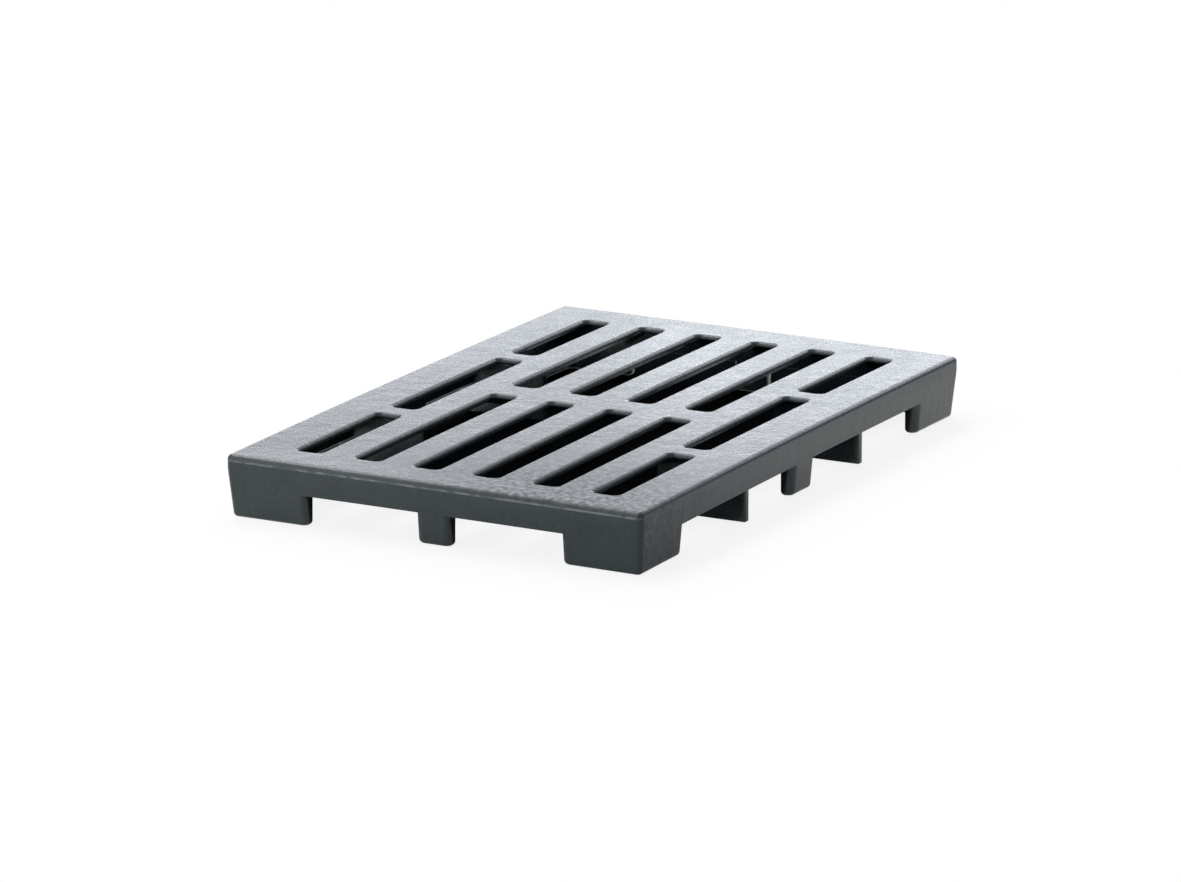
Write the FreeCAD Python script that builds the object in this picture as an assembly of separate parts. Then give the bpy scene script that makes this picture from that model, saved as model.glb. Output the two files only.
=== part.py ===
import FreeCAD, Part
import math
import os

from FreeCAD import Vector

# Slotted plastic drain grate, moulded in one piece: a thin deck with fourteen slots,
# a deep rim all round, and low feet that grow out of the rim.
# X runs along the short side, Y along the long side and Z up. The origin is on the
# ground, under the middle of the deck. All sizes are in millimetres.

# Overall size
length = 600.0
width = 400.0
height = 57.0

# Rim and deck
deck_thickness = 5.0
rim_depth = 28.5
rim_width = 15.5
rim_inner_radius = 6.0
corner_radius = 5.0
top_edge_radius = 4.5
upright_band = 13.0
draft_angle = 4.8

# Slots: six columns along the length, the outer two in three slots, the others in two
column_count = 6
slot_width = 23.4
slot_corner_radius = 5.0
slot_edge_radius = 3.5
side_margin = 45.5
end_margin = 41.5
middle_land = 34.0
outer_land = 23.5
short_slot_length = 139.0

# Feet that grow down from the rim
corner_arm_on_end = 78.0
corner_arm_on_side = 79.0
end_foot_length = 33.0
side_foot_length = 41.0
foot_end_radius = 7.0
foot_back_radius = 4.0
foot_bottom_radius = 4.0
foot_end_draft_angle = 0.5

# Strut feet: upright webs that reach the ground under the lands of the outer columns
strut_thickness = 7.0
strut_edge_radius = 1.5
strut_bottom_radius = 1.0

# Stiffening ribs under the bars and under the middle land
rib_thickness = 4.0
rib_depth = 9.0

# Places that follow from the sizes above
deck_underside = height - deck_thickness
rim_bottom = height - rim_depth
draft_start = height - upright_band
column_pitch = (width - 2 * side_margin - slot_width) / (column_count - 1)
strut_place = length / 2 - end_margin - short_slot_length - outer_land / 2

# Working values: how far pieces reach into each other, the flat left beside a rounding,
# and how closely a level has to match
overlap = 1.0
least_flat = 1.0
match = 1e-6


def inset_at(level):
    """How far the outer faces have drawn in at a height above the ground."""
    return max(0.0, draft_start - level) * math.tan(math.radians(draft_angle))


def rounded_wire(corners, level):
    """A closed wire at one height. Each corner is (x, y, radius), in order round the shape."""
    count = len(corners)
    edges = []
    tangents = []
    for index, (x, y, radius) in enumerate(corners):
        here = Vector(x, y, level)
        before = Vector(corners[index - 1][0], corners[index - 1][1], level)
        after = Vector(corners[(index + 1) % count][0], corners[(index + 1) % count][1], level)
        to_before = (before - here).normalize()
        to_after = (after - here).normalize()
        half_angle = to_before.getAngle(to_after) / 2
        reach = radius / math.tan(half_angle)
        bisector = (to_before + to_after).normalize()
        centre = here + bisector * (radius / math.sin(half_angle))
        middle = centre - bisector * radius
        tangents.append((here + to_before * reach, middle, here + to_after * reach))
    for index, (start, middle, end) in enumerate(tangents):
        edges.append(Part.Arc(start, middle, end).toShape())
        following = tangents[(index + 1) % count][0]
        edges.append(Part.LineSegment(end, following).toShape())
    return Part.Wire(edges)


def rectangle(half_x, half_y, radius, centre_x=0.0, centre_y=0.0):
    """The four corners of a rounded rectangle, anticlockwise."""
    return [
        (centre_x - half_x, centre_y - half_y, radius),
        (centre_x + half_x, centre_y - half_y, radius),
        (centre_x + half_x, centre_y + half_y, radius),
        (centre_x - half_x, centre_y + half_y, radius),
    ]


def prism(corners, low, high):
    """An upright solid with a rounded outline."""
    face = Part.Face(rounded_wire(corners, low))
    return face.extrude(Vector(0, 0, high - low))


def tapered(low_corners, low, high_corners, high):
    """A solid between two like outlines at two heights, with straight sides."""
    wires = [rounded_wire(low_corners, low), rounded_wire(high_corners, high)]
    return Part.makeLoft(wires, True, True)


def outer_corners(level):
    inset = inset_at(level)
    return rectangle(width / 2 - inset, length / 2 - inset, corner_radius)


def column_places():
    """The X of each column of slots."""
    first = -(column_count - 1) / 2 * column_pitch
    return [first + index * column_pitch for index in range(column_count)]


def outer_column_rows():
    """Start and end of each slot in the two outer columns, along Y."""
    start = -length / 2 + end_margin
    inner_end = start + short_slot_length
    middle_start = inner_end + outer_land
    return [(start, inner_end), (middle_start, -middle_start), (-inner_end, -start)]


def inner_column_rows():
    """Start and end of each slot in the other columns, along Y."""
    start = -length / 2 + end_margin
    return [(start, -middle_land / 2), (middle_land / 2, -start)]


def slot_prisms():
    """One upright prism for each slot, right through the deck."""
    prisms = []
    radius = min(slot_corner_radius, slot_width / 2 - least_flat)
    places = column_places()
    for place in places:
        outer = place in (places[0], places[-1])
        rows = outer_column_rows() if outer else inner_column_rows()
        for start, end in rows:
            outline = rectangle(slot_width / 2, (end - start) / 2, radius, place, (start + end) / 2)
            prisms.append(prism(outline, deck_underside - overlap, height + overlap))
    return prisms


def edges_at_top(solid, on_outside):
    """The edges at deck height that run round the outside, or those round the slots."""
    found = []
    for edge in solid.Edges:
        box = edge.BoundBox
        if abs(box.ZMin - height) > match or abs(box.ZMax - height) > match:
            continue
        middle = edge.valueAt((edge.FirstParameter + edge.LastParameter) / 2)
        outside = (abs(middle.x) > width / 2 - corner_radius
                   or abs(middle.y) > length / 2 - corner_radius)
        if outside == on_outside:
            found.append(edge)
    return found


def deck_and_rim():
    """The tray-like body: deck, slots, rim and rounded top edges."""
    upright = prism(outer_corners(draft_start), draft_start, height)
    leaning = tapered(outer_corners(rim_bottom), rim_bottom, outer_corners(draft_start), draft_start)
    block = upright.fuse(leaning).removeSplitter()
    block = block.cut(slot_prisms())
    block = block.makeFillet(top_edge_radius, edges_at_top(block, True))
    slot_radius = min(slot_edge_radius, deck_thickness - least_flat)
    block = block.makeFillet(slot_radius, edges_at_top(block, False))
    hollow_outline = rectangle(width / 2 - rim_width, length / 2 - rim_width, rim_inner_radius)
    hollow = prism(hollow_outline, rim_bottom - overlap, deck_underside)
    return block.cut(hollow)


def corner_foot_corners(level):
    """Outline of the L-shaped foot at the corner where X and Y are both negative."""
    inset = inset_at(level)
    taper = (rim_bottom - level) * math.tan(math.radians(foot_end_draft_angle))
    left = -width / 2
    front = -length / 2
    end_x = left + corner_arm_on_end - taper
    end_y = front + corner_arm_on_side - taper
    return [
        (left + inset, front + inset, corner_radius),
        (end_x, front + inset, foot_end_radius),
        (end_x, front + rim_width, foot_back_radius),
        (left + rim_width, front + rim_width, rim_inner_radius),
        (left + rim_width, end_y, foot_back_radius),
        (left + inset, end_y, foot_end_radius),
    ]


def middle_foot_corners(foot_length, level):
    """Outline of a foot in the middle of the end where Y is negative, about X zero."""
    inset = inset_at(level)
    taper = (rim_bottom - level) * math.tan(math.radians(foot_end_draft_angle))
    half = foot_length / 2 - taper
    return [
        (-half, inset, foot_end_radius),
        (half, inset, foot_end_radius),
        (half, rim_width, foot_back_radius),
        (-half, rim_width, foot_back_radius),
    ]


def round_bottom(foot):
    """Round every edge round a foot's underside."""
    thickness = rim_width - inset_at(0.0)
    radius = min(foot_bottom_radius, thickness / 2 - least_flat)
    edges = [edge for edge in foot.Edges if edge.BoundBox.ZMax < match]
    return foot.makeFillet(radius, edges)


def corner_feet():
    foot = tapered(corner_foot_corners(0.0), 0.0, corner_foot_corners(rim_bottom), rim_bottom)
    foot = round_bottom(foot)
    right = foot.mirror(Vector(0, 0, 0), Vector(1, 0, 0))
    feet = [foot, right]
    for near in (foot, right):
        feet.append(near.mirror(Vector(0, 0, 0), Vector(0, 1, 0)))
    return feet


def middle_foot(foot_length):
    """A foot that stands on the X axis side of its own frame, outer face towards -Y."""
    low = middle_foot_corners(foot_length, 0.0)
    high = middle_foot_corners(foot_length, rim_bottom)
    foot = tapered(low, 0.0, high, rim_bottom)
    return round_bottom(foot)


def middle_feet():
    """The feet halfway along each end and each side."""
    feet = []
    for foot_length, distance, angles in (
        (end_foot_length, length / 2, (0, 180)),
        (side_foot_length, width / 2, (90, 270)),
    ):
        for angle in angles:
            foot = middle_foot(foot_length)
            foot.translate(Vector(0, -distance, 0))
            foot.rotate(Vector(0, 0, 0), Vector(0, 0, 1), angle)
            feet.append(foot)
    return feet


def struts():
    """Four webs across the rim, each in line with the rim's lower edge and tied to the nearest long rib."""
    inner_end = column_pitch * (column_count / 2 - 1)
    outer_end = width / 2 - inset_at(rim_bottom)
    inside_rim = width / 2 - rim_width / 2
    profile = Part.makePolygon([
        Vector(inner_end, 0, 0),
        Vector(outer_end, 0, 0),
        Vector(outer_end, 0, rim_bottom),
        Vector(inside_rim, 0, rim_bottom),
        Vector(inside_rim, 0, deck_underside + overlap),
        Vector(inner_end, 0, deck_underside + overlap),
        Vector(inner_end, 0, 0),
    ])
    web = Part.Face(profile).extrude(Vector(0, strut_thickness, 0))
    web.translate(Vector(0, -strut_thickness / 2, 0))
    outer_edges = [edge for edge in web.Edges
                   if edge.BoundBox.ZMin < match and abs(edge.BoundBox.ZMax - rim_bottom) < match]
    web = web.makeFillet(min(strut_edge_radius, strut_thickness / 2 - least_flat), outer_edges)
    bottom_edges = [edge for edge in web.Edges if edge.BoundBox.ZMax < match]
    web = web.makeFillet(strut_bottom_radius, bottom_edges)
    webs = []
    for angle in (0, 180):
        for place in (-strut_place, strut_place):
            copy = web.copy()
            copy.rotate(Vector(0, 0, 0), Vector(0, 0, 1), angle)
            copy.translate(Vector(0, place, 0))
            webs.append(copy)
    return webs


def rib(x_low, x_high, y_low, y_high):
    """A straight rib under the deck."""
    low = deck_underside - rib_depth
    return Part.makeBox(x_high - x_low, y_high - y_low, deck_underside + overlap - low,
                        Vector(x_low, y_low, low))


def ribs():
    """A long rib under each bar between two columns, and a cross rib under the middle land."""
    reach = length / 2 - rim_width / 2
    half = rib_thickness / 2
    bars = [place + column_pitch / 2 for place in column_places()[:-1]]
    found = [rib(bar - half, bar + half, -reach, reach) for bar in bars]
    found.append(rib(bars[0], bars[-1], -half, half))
    return found


def drain_grate():
    """The whole moulding as one solid."""
    body = deck_and_rim()
    body = body.fuse(ribs() + struts() + corner_feet() + middle_feet())
    return body.removeSplitter()


os.makedirs("parts", exist_ok=True)
grate = drain_grate()
if isinstance(grate, Part.Compound) and len(grate.Solids) == 1:
    grate = grate.Solids[0]
print("solids", len(grate.Solids), "valid", grate.isValid(), "volume", round(grate.Volume))
print("box", grate.BoundBox)
grate.exportStep("parts/drain_grate.step")
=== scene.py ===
# Slotted drain grate: one piece of dark grey moulded plastic, on a pale studio floor.
import bpy
from math import cos, radians, sin
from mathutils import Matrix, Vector


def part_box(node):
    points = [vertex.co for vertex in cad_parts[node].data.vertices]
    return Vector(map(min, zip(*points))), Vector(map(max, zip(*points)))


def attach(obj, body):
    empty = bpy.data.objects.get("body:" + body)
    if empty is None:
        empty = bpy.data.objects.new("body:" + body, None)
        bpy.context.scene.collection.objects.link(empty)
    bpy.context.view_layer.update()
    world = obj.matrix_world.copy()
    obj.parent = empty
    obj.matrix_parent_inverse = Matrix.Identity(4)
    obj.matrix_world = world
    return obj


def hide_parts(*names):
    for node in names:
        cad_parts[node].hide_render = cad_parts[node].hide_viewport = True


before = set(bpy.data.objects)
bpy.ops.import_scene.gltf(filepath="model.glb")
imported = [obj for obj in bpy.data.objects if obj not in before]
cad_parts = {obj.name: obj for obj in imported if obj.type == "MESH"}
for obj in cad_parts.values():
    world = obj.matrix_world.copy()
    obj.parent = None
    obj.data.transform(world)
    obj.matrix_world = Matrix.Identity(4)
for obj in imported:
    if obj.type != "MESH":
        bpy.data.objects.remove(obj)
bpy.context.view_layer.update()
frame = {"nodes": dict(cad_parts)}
print("frame loaded:", ", ".join(frame["nodes"]))


def mm(value):
    return value / 1000


def perMm(size):
    return 1000 / size  # noise scale whose cells are this many millimetres across


def hexLinear(code):
    channels = [int(code[i:i + 2], 16) / 255 for i in (1, 3, 5)]
    return tuple(c / 12.92 if c <= 0.04045 else ((c + 0.055) / 1.055) ** 2.4 for c in channels) + (1.0,)


def addNode(tree, kind, settings={}, values={}, links={}):
    node = tree.nodes.new(kind)
    for name, value in settings.items():
        setattr(node, name, value)
    for socket, value in values.items():
        node.inputs[socket].default_value = value
    for socket, source in links.items():
        tree.links.new(source, node.inputs[socket])
    return node


def emptyMaterial(name):
    material = bpy.data.materials.new(name)
    material.use_nodes = True
    material.node_tree.nodes.clear()
    return material, material.node_tree


def selectOnly(thing):
    bpy.ops.object.select_all(action="DESELECT")
    thing.select_set(True)
    bpy.context.view_layer.objects.active = thing


# The grate

grateShape = {
    "weldDistance": 0.002,           # mm, joins the loose triangles of the solid
    "stationsAlong": 30,             # mm between the extra cuts that let the deck bend
    "cagePoints": (9, 17, 3),        # of the cage that bends it: across, along and up
    "cageRim": 0.49,                 # the cage runs from -0.5 to 0.5, and beyond this its points hold the rim
    "crownAlong": 1.5,               # mm, the moulding has bowed up by this much in the middle of its length
    "crownAcross": 0.5,              # mm, and by this much across
    "dish": 0.5,                     # mm, the slotted middle has sunk by this much inside the rim
    "endHeight": 55.0,               # mm, corner of the deck above the floor
    "rimHeight": 27.5,               # mm, underside of the rim above the floor, at a corner
    "sharpAngle": 40,                # degrees, rounder edges than this are shaded smooth
    "normalWeight": 60,              # how much more the large faces count in the shading
    "heightName": "heightInSolid",   # point values that keep each height from before the deck was bent
}


def copyOfSolid(nodeName, pieceName):
    solid = frame["nodes"][nodeName]
    piece = solid.copy()
    piece.data = solid.data.copy()
    piece.name = pieceName
    piece.parent = None
    for key in list(piece.keys()):
        del piece[key]
    bpy.context.scene.collection.objects.link(piece)
    selectOnly(piece)
    bpy.ops.object.mode_set(mode="EDIT")
    bpy.ops.mesh.select_all(action="SELECT")
    bpy.ops.mesh.remove_doubles(threshold=mm(grateShape["weldDistance"]))
    bpy.ops.object.mode_set(mode="OBJECT")
    return piece


def cutStations(piece, axis, low, high):
    count = round((high - low) / mm(grateShape["stationsAlong"]))
    selectOnly(piece)
    bpy.ops.object.mode_set(mode="EDIT")
    for index in range(1, count):
        place = Vector((0, 0, 0))
        normal = Vector((0, 0, 0))
        place[axis] = low + (high - low) * index / count
        normal[axis] = 1
        bpy.ops.mesh.select_all(action="SELECT")
        bpy.ops.mesh.bisect(plane_co=place, plane_no=normal)
    bpy.ops.object.mode_set(mode="OBJECT")


def keepHeights(piece):
    heights = piece.data.attributes.new(grateShape["heightName"], "FLOAT", "POINT")
    heights.data.foreach_set("value", [point.co.z for point in piece.data.vertices])


def crownLift(across, along):
    # both run from -0.5 to 0.5 over the deck
    bowAlong = grateShape["crownAlong"] * (1 - (2 * along) ** 2)
    bowAcross = grateShape["crownAcross"] * (1 - (2 * across) ** 2)
    sunk = grateShape["dish"] if max(abs(across), abs(along)) < grateShape["cageRim"] else 0.0
    return bowAlong + bowAcross - sunk


def crownPiece(piece, low, high):
    size = high - low
    centre = (low + high) / 2
    bpy.ops.object.select_all(action="DESELECT")
    bpy.ops.object.add(type="LATTICE", location=centre)
    cage = bpy.context.object
    cage.scale = size
    for direction, count in zip("uvw", grateShape["cagePoints"]):
        setattr(cage.data, "points_" + direction, count)
        setattr(cage.data, "interpolation_type_" + direction, "KEY_LINEAR")
    levels = {-0.5: 0.0, 0.0: grateShape["rimHeight"], 0.5: grateShape["endHeight"]}
    for point in cage.data.points:
        across, along, up = point.co
        height = mm(levels[round(up, 1)] + crownLift(across, along))
        point.co_deform = (across, along, (height - centre.z) / size.z)
    bend = piece.modifiers.new("crown", "LATTICE")
    bend.object = cage
    selectOnly(piece)
    bpy.ops.object.modifier_apply(modifier=bend.name)
    bpy.data.objects.remove(cage)


def finishShading(piece):
    selectOnly(piece)
    bpy.ops.object.shade_smooth_by_angle(angle=radians(grateShape["sharpAngle"]))
    even = piece.modifiers.new("even normals", "WEIGHTED_NORMAL")
    even.keep_sharp = True
    even.weight = grateShape["normalWeight"]
    bpy.ops.object.modifier_apply(modifier=even.name)


solidLow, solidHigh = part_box("drain_grate")
grate = copyOfSolid("drain_grate", "moulded_grate")
cutStations(grate, 1, solidLow.y, solidHigh.y)
cutStations(grate, 0, solidLow.x, solidHigh.x)
keepHeights(grate)
crownPiece(grate, solidLow, solidHigh)
finishShading(grate)
print("grate shaped:", len(grate.data.polygons), "faces")


# Moulded polypropylene, coloured right through and tumbled by handling: a satin skin
# that is nearly black face on and mirrors the bright wall softly at a low angle.

plastic = {
    "base": "#2F393B",               # anthracite
    "pale": "#40494B",               # where the skin is rubbed and dusty
    "paleShare": 0.5,                # how far the salt alone, or a rubbed patch alone, goes from base to pale
    "ior": 1.50,
    "roughness": 0.28,
    "roughnessSpread": 0.10,         # from one cloudy patch to the next
    "cloud": 24.0,                   # mm, patches of rubbed skin
    "cloudDetail": 4.0,
    "cloudRange": (0.35, 0.70),      # the noise that is fresh skin, and the noise that is rubbed skin
    "speckle": 2.4,                  # mm, size of the salt and pepper of the eroded tool skin
    "speckleDetail": 2.0,
    "speckleRange": (0.36, 0.64),    # the noise that is pepper, and the noise that is salt
    "speckleRoughness": 0.05,        # how much duller the pepper is than the salt
    "grain": 1.8,                    # mm, spark-eroded tool grain, drawn about twice as coarse as real
    "grainDepth": 0.06,              # mm
    "peel": 5.5,                     # mm, orange peel of the flow
    "peelDepth": 0.17,               # mm
    "dapple": 15.0,                  # mm, uneven skin where the melt cooled at different speeds
    "dappleDepth": 0.26,             # mm
    "sink": 38.0,                    # mm, slow hollows where thick plastic shrank
    "sinkDepth": 0.35,               # mm
    "reliefDetail": 2.0,
}

# painted highlight: a broken pale line along the near end, just below the rounded top edge, where that edge catches the
# front light
nearEdgeHighlight = {
    "colour": "#959C9F",
    "height": 51.7,                  # mm, in the solid
    "half": 1.6,                     # mm, half the width of the line
    "reach": 2.0,                    # mm in from the near end
    "break": 9.0,                    # mm, length of its bright and dull pieces
    "breakDetail": 3.0,
    "breakRange": (0.35, 0.60),      # the noise that is dullest, and the noise that is brightest
    "least": 0.25,                   # what is left of it in its dullest pieces
}

# round here at the near end, handling has rubbed the skin dull in patches
rubbedCorner = {
    "place": (110, -330),            # mm, on top of the deck
    "reach": 250,                    # mm away from there it is as glossy as elsewhere
    "roughness": 0.24,               # how much duller it is at the middle
    "patch": 5.5,                    # mm, size of the patches
    "patchDetail": 3.0,
    "patchRange": (0.38, 0.62),      # the noise that is dullest, and the noise that is left glossy
    "patchMost": 1.4,                # how many times as dull as the middle a patch is
}


def noiseOver(tree, place, size, detail):
    return addNode(tree, "ShaderNodeTexNoise", {}, {"Scale": perMm(size), "Detail": detail},
                   {"Vector": place}).outputs["Fac"]


# painted highlight: a thin broken pale band at one height, on the near end only
def nearEdgeHighlightMask(tree, place):
    height = addNode(tree, "ShaderNodeAttribute", {"attribute_name": grateShape["heightName"]})
    off = addNode(tree, "ShaderNodeMath", {"operation": "SUBTRACT"}, {1: mm(nearEdgeHighlight["height"])},
                  {0: height.outputs["Fac"]})
    off = addNode(tree, "ShaderNodeMath", {"operation": "ABSOLUTE"}, {}, {0: off.outputs[0]})
    line = addNode(tree, "ShaderNodeMapRange", {"interpolation_type": "SMOOTHSTEP"},
                   {"From Min": 0.0, "From Max": mm(nearEdgeHighlight["half"]), "To Min": 1.0, "To Max": 0.0},
                   {"Value": off.outputs[0]})
    dullest, brightest = nearEdgeHighlight["breakRange"]
    broken = addNode(tree, "ShaderNodeMapRange", {},
                     {"From Min": dullest, "From Max": brightest, "To Min": nearEdgeHighlight["least"]},
                     {"Value": noiseOver(tree, place, nearEdgeHighlight["break"], nearEdgeHighlight["breakDetail"])})
    along = addNode(tree, "ShaderNodeSeparateXYZ", {}, {}, {0: place}).outputs["Y"]
    nearEnd = addNode(tree, "ShaderNodeMath", {"operation": "LESS_THAN"}, {1: solidLow.y + mm(nearEdgeHighlight["reach"])},
                      {0: along})
    line = addNode(tree, "ShaderNodeMath", {"operation": "MULTIPLY"}, {},
                   {0: line.outputs["Result"], 1: broken.outputs["Result"]})
    return addNode(tree, "ShaderNodeMath", {"operation": "MULTIPLY"}, {},
                   {0: line.outputs[0], 1: nearEnd.outputs[0]}).outputs[0]


def rubbedRoughness(tree, place, roughness):
    corner = tuple(mm(value) for value in rubbedCorner["place"]) + (solidHigh.z,)
    away = addNode(tree, "ShaderNodeVectorMath", {"operation": "DISTANCE"}, {1: corner}, {0: place})
    handled = addNode(tree, "ShaderNodeMapRange", {"interpolation_type": "SMOOTHSTEP"},
                      {"From Max": mm(rubbedCorner["reach"]), "To Min": rubbedCorner["roughness"], "To Max": 0.0},
                      {"Value": away.outputs["Value"]})
    dullest, glossy = rubbedCorner["patchRange"]
    patchy = addNode(tree, "ShaderNodeMapRange", {},
                     {"From Min": dullest, "From Max": glossy, "To Min": rubbedCorner["patchMost"], "To Max": 0.0},
                     {"Value": noiseOver(tree, place, rubbedCorner["patch"], rubbedCorner["patchDetail"])})
    return addNode(tree, "ShaderNodeMath", {"operation": "MULTIPLY_ADD"}, {},
                   {0: handled.outputs["Result"], 1: patchy.outputs["Result"], 2: roughness}).outputs[0]


def mouldedPolypropylene():
    material, tree = emptyMaterial("moulded polypropylene")
    place = addNode(tree, "ShaderNodeTexCoord").outputs["Object"]
    cloud = noiseOver(tree, place, plastic["cloud"], plastic["cloudDetail"])
    speckle = noiseOver(tree, place, plastic["speckle"], plastic["speckleDetail"])
    fresh, worn = plastic["cloudRange"]
    rubbed = addNode(tree, "ShaderNodeMapRange", {}, {"From Min": fresh, "From Max": worn}, {"Value": cloud})
    pepper, palest = plastic["speckleRange"]
    salt = addNode(tree, "ShaderNodeMapRange", {"interpolation_type": "SMOOTHSTEP"},
                   {"From Min": pepper, "From Max": palest}, {"Value": speckle})

    # colour
    paler = addNode(tree, "ShaderNodeMath", {"operation": "MULTIPLY"}, {1: plastic["paleShare"]},
                    {0: salt.outputs["Result"]})
    paler = addNode(tree, "ShaderNodeMath", {"operation": "MULTIPLY_ADD", "use_clamp": True},
                    {1: plastic["paleShare"]}, {0: rubbed.outputs["Result"], 2: paler.outputs[0]})
    colour = addNode(tree, "ShaderNodeMix", {"data_type": "RGBA"},
                     {"A": hexLinear(plastic["base"]), "B": hexLinear(plastic["pale"])}, {"Factor": paler.outputs[0]})
    # paint the highlight line along the near end over the plastic's colour
    colour = addNode(tree, "ShaderNodeMix", {"data_type": "RGBA"}, {"B": hexLinear(nearEdgeHighlight["colour"])},
                     {"Factor": nearEdgeHighlightMask(tree, place), "A": colour.outputs["Result"]})

    # gloss
    cloudy = plastic["roughnessSpread"] / 2
    roughness = addNode(tree, "ShaderNodeMapRange", {},
                        {"To Min": plastic["roughness"] - cloudy, "To Max": plastic["roughness"] + cloudy},
                        {"Value": cloud})
    speckled = plastic["speckleRoughness"] / 2
    dull = addNode(tree, "ShaderNodeMapRange", {}, {"To Min": speckled, "To Max": -speckled},
                   {"Value": salt.outputs["Result"]})
    roughness = addNode(tree, "ShaderNodeMath", {"operation": "ADD"}, {},
                        {0: roughness.outputs["Result"], 1: dull.outputs["Result"]})
    roughness = rubbedRoughness(tree, place, roughness.outputs[0])

    # relief, from the slowest waves to the finest grain
    normal = None
    for pattern in ("sink", "dapple", "peel", "grain"):
        links = {"Height": noiseOver(tree, place, plastic[pattern], plastic["reliefDetail"])}
        if normal:
            links["Normal"] = normal
        bump = addNode(tree, "ShaderNodeBump", {}, {"Strength": 1.0, "Distance": mm(plastic[pattern + "Depth"])}, links)
        normal = bump.outputs["Normal"]

    shader = addNode(tree, "ShaderNodeBsdfPrincipled", {}, {"IOR": plastic["ior"]},
                     {"Base Color": colour.outputs["Result"], "Roughness": roughness, "Normal": normal})
    addNode(tree, "ShaderNodeOutputMaterial", {}, {}, {"Surface": shader.outputs["BSDF"]})
    return material


skin = mouldedPolypropylene()
grate.data.materials.clear()
grate.data.materials.append(skin)
for node in frame["nodes"].values():
    node.data.materials.clear()
    node.data.materials.append(skin)
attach(grate, "root")
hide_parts("drain_grate")
print("plastic on")


# Studio floor

studio = {
    "floorSize": 40.0,               # m
    "floorColour": "#FAFAFA",
    "floorBounce": "#8C8C8C",        # what the floor gives back to the object by diffuse light
    "clearNear": 0.85,               # share of plain white in the floor right beside the deck
    "clearTo": 110,                  # mm out from the deck's outline, from where the floor is all plain white
    "mirrorShadeFrom": (200, -300),         # mm, near corner of the deck: painted shade, the floor as the sides mirror it is painted darkest here
    "mirrorShadeTo": 700,                   # mm away from there it is as pale as elsewhere
    # how much of the painted shade colour the mirrored floor takes at that corner
    "dull": 0.58,
    "coveredEdge": 20,               # mm in from the deck's outline, the mirrored floor is all in shade
    "shade": "#0C0D0E",              # the floor in the deep shade under the deck
    "shadeCentre": (-77, 120),       # mm, the deepest shade lies under the deck and falls away behind it
    "shadeHalf": (155, 258),
    "shadeFade": (52, 58),           # mm, it fades out over this much, across and along
    "sky": "#EEF2F8",
    "skyStrength": 0.43,
}


def insideOf(tree, place, centre, half):
    # how far a point of the floor lies inside a rectangle, along each axis, in metres
    moved = addNode(tree, "ShaderNodeVectorMath", {"operation": "SUBTRACT"},
                    {1: (mm(centre[0]), mm(centre[1]), 0)}, {0: place})
    off = addNode(tree, "ShaderNodeVectorMath", {"operation": "ABSOLUTE"}, {}, {0: moved.outputs[0]})
    return addNode(tree, "ShaderNodeVectorMath", {"operation": "SUBTRACT"},
                   {0: (mm(half[0]), mm(half[1]), 0)}, {1: off.outputs[0]}).outputs[0]


def shadeAround(tree, inside, fade):
    # full within the rectangle, and fading out round it
    outward = addNode(tree, "ShaderNodeVectorMath", {"operation": "MINIMUM"}, {1: (0, 0, 0)}, {0: inside})
    scaled = addNode(tree, "ShaderNodeVectorMath", {"operation": "DIVIDE"},
                     {1: (mm(fade[0]), mm(fade[1]), 1)}, {0: outward.outputs[0]})
    distance = addNode(tree, "ShaderNodeVectorMath", {"operation": "LENGTH"}, {}, {0: scaled.outputs[0]})
    return addNode(tree, "ShaderNodeMapRange", {"interpolation_type": "SMOOTHSTEP"}, {"To Min": 1.0, "To Max": 0.0},
                   {"Value": distance.outputs["Value"]}).outputs["Result"]


def mirroredShade(tree, place, deckHalf):
    # the floor as the sides mirror it: painted shade, darker near the near right corner and under the deck
    edge = studio["coveredEdge"]
    underneath = insideOf(tree, place, (0, 0), (deckHalf[0] - edge, deckHalf[1] - edge))
    covered = shadeAround(tree, underneath, (edge, edge))
    corner = tuple(mm(value) for value in studio["mirrorShadeFrom"]) + (0,)
    # painted shade in the mirrored floor, fading away from the near right corner
    away = addNode(tree, "ShaderNodeVectorMath", {"operation": "DISTANCE"}, {1: corner}, {0: place})
    dull = addNode(tree, "ShaderNodeMapRange", {"interpolation_type": "SMOOTHSTEP"},
                   {"From Max": mm(studio["mirrorShadeTo"]), "To Min": studio["dull"], "To Max": 0.0},
                   {"Value": away.outputs["Value"]})
    return addNode(tree, "ShaderNodeMath", {"operation": "MAXIMUM"}, {}, {0: covered, 1: dull.outputs["Result"]})


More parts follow.
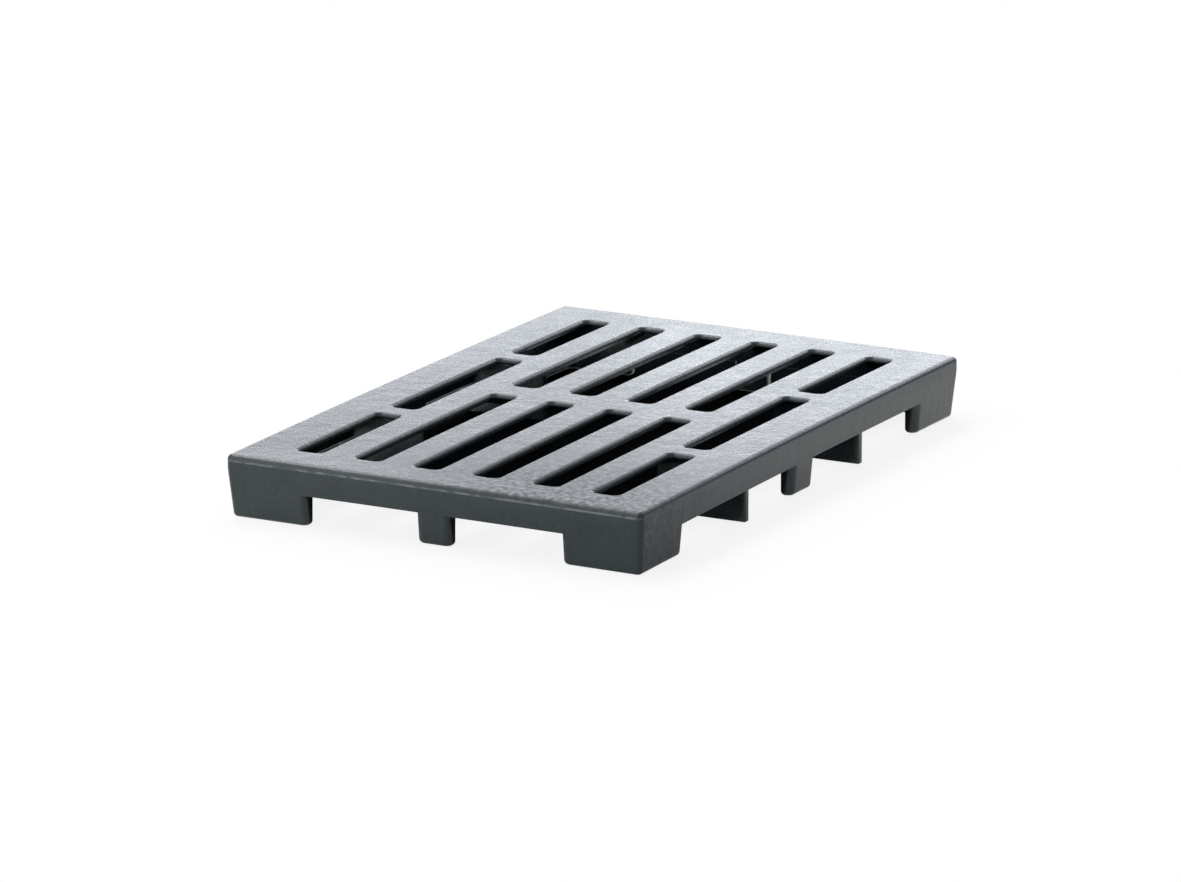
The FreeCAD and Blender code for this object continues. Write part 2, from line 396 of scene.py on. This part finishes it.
def paperFloor():
    material, tree = emptyMaterial("white studio paper")
    path = addNode(tree, "ShaderNodeLightPath")
    place = addNode(tree, "ShaderNodeTexCoord").outputs["Object"]
    deckHalf = (solidHigh.x * 1000, solidHigh.y * 1000)

    # pale where it is seen or mirrored, greyer where it only lights the object
    seen = addNode(tree, "ShaderNodeMath", {"operation": "MAXIMUM"}, {},
                   {0: path.outputs["Is Camera Ray"], 1: path.outputs["Is Glossy Ray"]})
    seen = addNode(tree, "ShaderNodeMath", {"operation": "MAXIMUM"}, {},
                   {0: seen.outputs[0], 1: path.outputs["Is Transmission Ray"]})
    colour = addNode(tree, "ShaderNodeMix", {"data_type": "RGBA"},
                     {"A": hexLinear(studio["floorBounce"]), "B": hexLinear(studio["floorColour"])},
                     {"Factor": seen.outputs[0]})

    # the shade
    fallen = shadeAround(tree, insideOf(tree, place, studio["shadeCentre"], studio["shadeHalf"]), studio["shadeFade"])
    mirrored = mirroredShade(tree, place, deckHalf)
    deep = addNode(tree, "ShaderNodeMix", {}, {},
                   {"Factor": path.outputs["Is Camera Ray"], "A": mirrored.outputs[0], "B": fallen})
    shaded = addNode(tree, "ShaderNodeMix", {"data_type": "RGBA"}, {"B": hexLinear(studio["shade"])},
                     {"Factor": deep.outputs["Result"], "A": colour.outputs["Result"]})
    paper = addNode(tree, "ShaderNodeBsdfDiffuse", {}, {}, {"Color": shaded.outputs["Result"]})

    # plain white, more and more of it away from the deck and none in the shade
    outward = addNode(tree, "ShaderNodeVectorMath", {"operation": "MINIMUM"}, {1: (0, 0, 0)},
                      {0: insideOf(tree, place, (0, 0), deckHalf)})
    distance = addNode(tree, "ShaderNodeVectorMath", {"operation": "LENGTH"}, {}, {0: outward.outputs[0]})
    white = addNode(tree, "ShaderNodeMapRange", {"interpolation_type": "SMOOTHSTEP"},
                    {"From Max": mm(studio["clearTo"]), "To Min": studio["clearNear"]},
                    {"Value": distance.outputs["Value"]})
    unshaded = addNode(tree, "ShaderNodeMath", {"operation": "SUBTRACT"}, {0: 1.0}, {1: deep.outputs["Result"]})
    white = addNode(tree, "ShaderNodeMath", {"operation": "MULTIPLY"}, {},
                    {0: white.outputs["Result"], 1: unshaded.outputs[0]})
    white = addNode(tree, "ShaderNodeMath", {"operation": "MULTIPLY"}, {}, {0: white.outputs[0], 1: seen.outputs[0]})
    clear = addNode(tree, "ShaderNodeEmission", {}, {"Color": (1, 1, 1, 1), "Strength": 1.0})
    mixed = addNode(tree, "ShaderNodeMixShader", {}, {},
                    {0: white.outputs[0], 1: paper.outputs[0], 2: clear.outputs[0]})
    addNode(tree, "ShaderNodeOutputMaterial", {}, {}, {"Surface": mixed.outputs[0]})
    return material


bpy.ops.object.select_all(action="DESELECT")
bpy.ops.mesh.primitive_plane_add(size=studio["floorSize"], location=(0, 0, 0))
floor = bpy.context.object
floor.name = "studio_floor"
floor.data.materials.append(paperFloor())


def studioSky():
    world = bpy.data.worlds.new("studio")
    bpy.context.scene.world = world
    world.use_nodes = True
    tree = world.node_tree
    tree.nodes.clear()
    sky = addNode(tree, "ShaderNodeBackground", {},
                  {"Color": hexLinear(studio["sky"]), "Strength": studio["skyStrength"]})
    addNode(tree, "ShaderNodeOutputWorld", {}, {}, {"Surface": sky.outputs[0]})


studioSky()
print("floor and sky on")


# Soft boxes, all aimed at the middle of the grate's footprint

wattsPerGlow = 4                     # W per square metre that make a box's face glow at strength 1

# turn: compass angle from +Y towards -X, and rise, both in degrees and as seen from the grate
# then metres away, metres wide, metres tall, strength of the glowing face, and colour
lamps = {
    "low back strip": (28, 7, 2.4, 2.6, 0.35, 0.42, "#F4F7FF"),
    "mid back strip": (28, 15, 2.4, 2.6, 0.35, 1.56, "#F4F7FF"),
    "near back strip": (28, 12.5, 1.2, 2, 0.15, 1.49, "#F4F7FF"),
    "right near strip": (12, 15, 1.2, 0.6, 0.2, 0.95, "#F4F7FF"),
    "right back strip": (-8, 24, 2.4, 1.2, 0.6, 1.79, "#F4F7FF"),
    "high back box": (28, 36, 2.4, 2.2, 0.6, 1.77, "#F4F7FF"),
    "left high box": (42, 45, 2.4, 1.6, 0.6, 1.23, "#FFFFFF"),
    "left higher box": (62, 58, 2.4, 1.8, 0.7, 2.46, "#FFFFFF"),
    "left overhead box": (105, 62, 2.4, 1.6, 0.8, 2.5, "#FFFFFF"),
    "overhead box": (28, 80, 2.4, 1.6, 1.2, 0.4, "#FFFFFF"),
    "front high box": (148, 38, 2.4, 2, 0.7, 1.3, "#FFFFFF"),
    "front strip": (152, 16, 2.4, 2.4, 0.32, 1.2, "#FFFFFF"),
    "left front strip": (140, 10, 2.4, 2.6, 0.25, 1.1, "#FFFFFF"),
    "low front strip": (152, 4.5, 2.4, 2.6, 0.26, 1.4, "#FFFFFF"),
}


def softBox(name, turn, rise, away, wide, tall, strength, colour):
    turn, rise = radians(turn), radians(rise)
    aim = Vector((-sin(turn) * cos(rise), cos(turn) * cos(rise), sin(rise)))
    bpy.ops.object.select_all(action="DESELECT")
    bpy.ops.object.light_add(type="AREA", location=aim * away)
    box = bpy.context.object
    box.name = name
    box.rotation_euler = aim.to_track_quat("Z", "Y").to_euler()
    box.data.shape = "RECTANGLE"
    box.data.size = wide
    box.data.size_y = tall
    box.data.color = hexLinear(colour)[:3]
    box.data.energy = strength * wide * tall * wattsPerGlow


for name, values in lamps.items():
    softBox(name, *values)
print("studio lit")


# Camera: long lens, a little above the deck and off the near right corner

photo = {
    "turn": 28.37,                   # degrees from +Y towards -X
    "down": 14.90,                   # degrees
    "distance": 6.652,               # m
    "lookAt": (0.05220, -0.11562, 0.05541),   # m
    "focalPixels": 7799.4,
    "frameWidth": 1181,              # pixels
    "sensorWidth": 36.0,             # mm
    "farthest": 100,                 # m
}


def addCamera():
    turn, down = radians(photo["turn"]), radians(photo["down"])
    ahead = Vector((-sin(turn) * cos(down), cos(turn) * cos(down), -sin(down)))
    bpy.ops.object.select_all(action="DESELECT")
    bpy.ops.object.camera_add(location=Vector(photo["lookAt"]) - ahead * photo["distance"])
    camera = bpy.context.object
    camera.rotation_euler = ahead.to_track_quat("-Z", "Y").to_euler()
    camera.data.sensor_fit = "HORIZONTAL"
    camera.data.sensor_width = photo["sensorWidth"]
    camera.data.lens = photo["sensorWidth"] * photo["focalPixels"] / photo["frameWidth"]
    camera.data.clip_end = photo["farthest"]
    bpy.context.scene.camera = camera


addCamera()
bpy.context.scene.view_settings.view_transform = "Standard"
print("camera set")
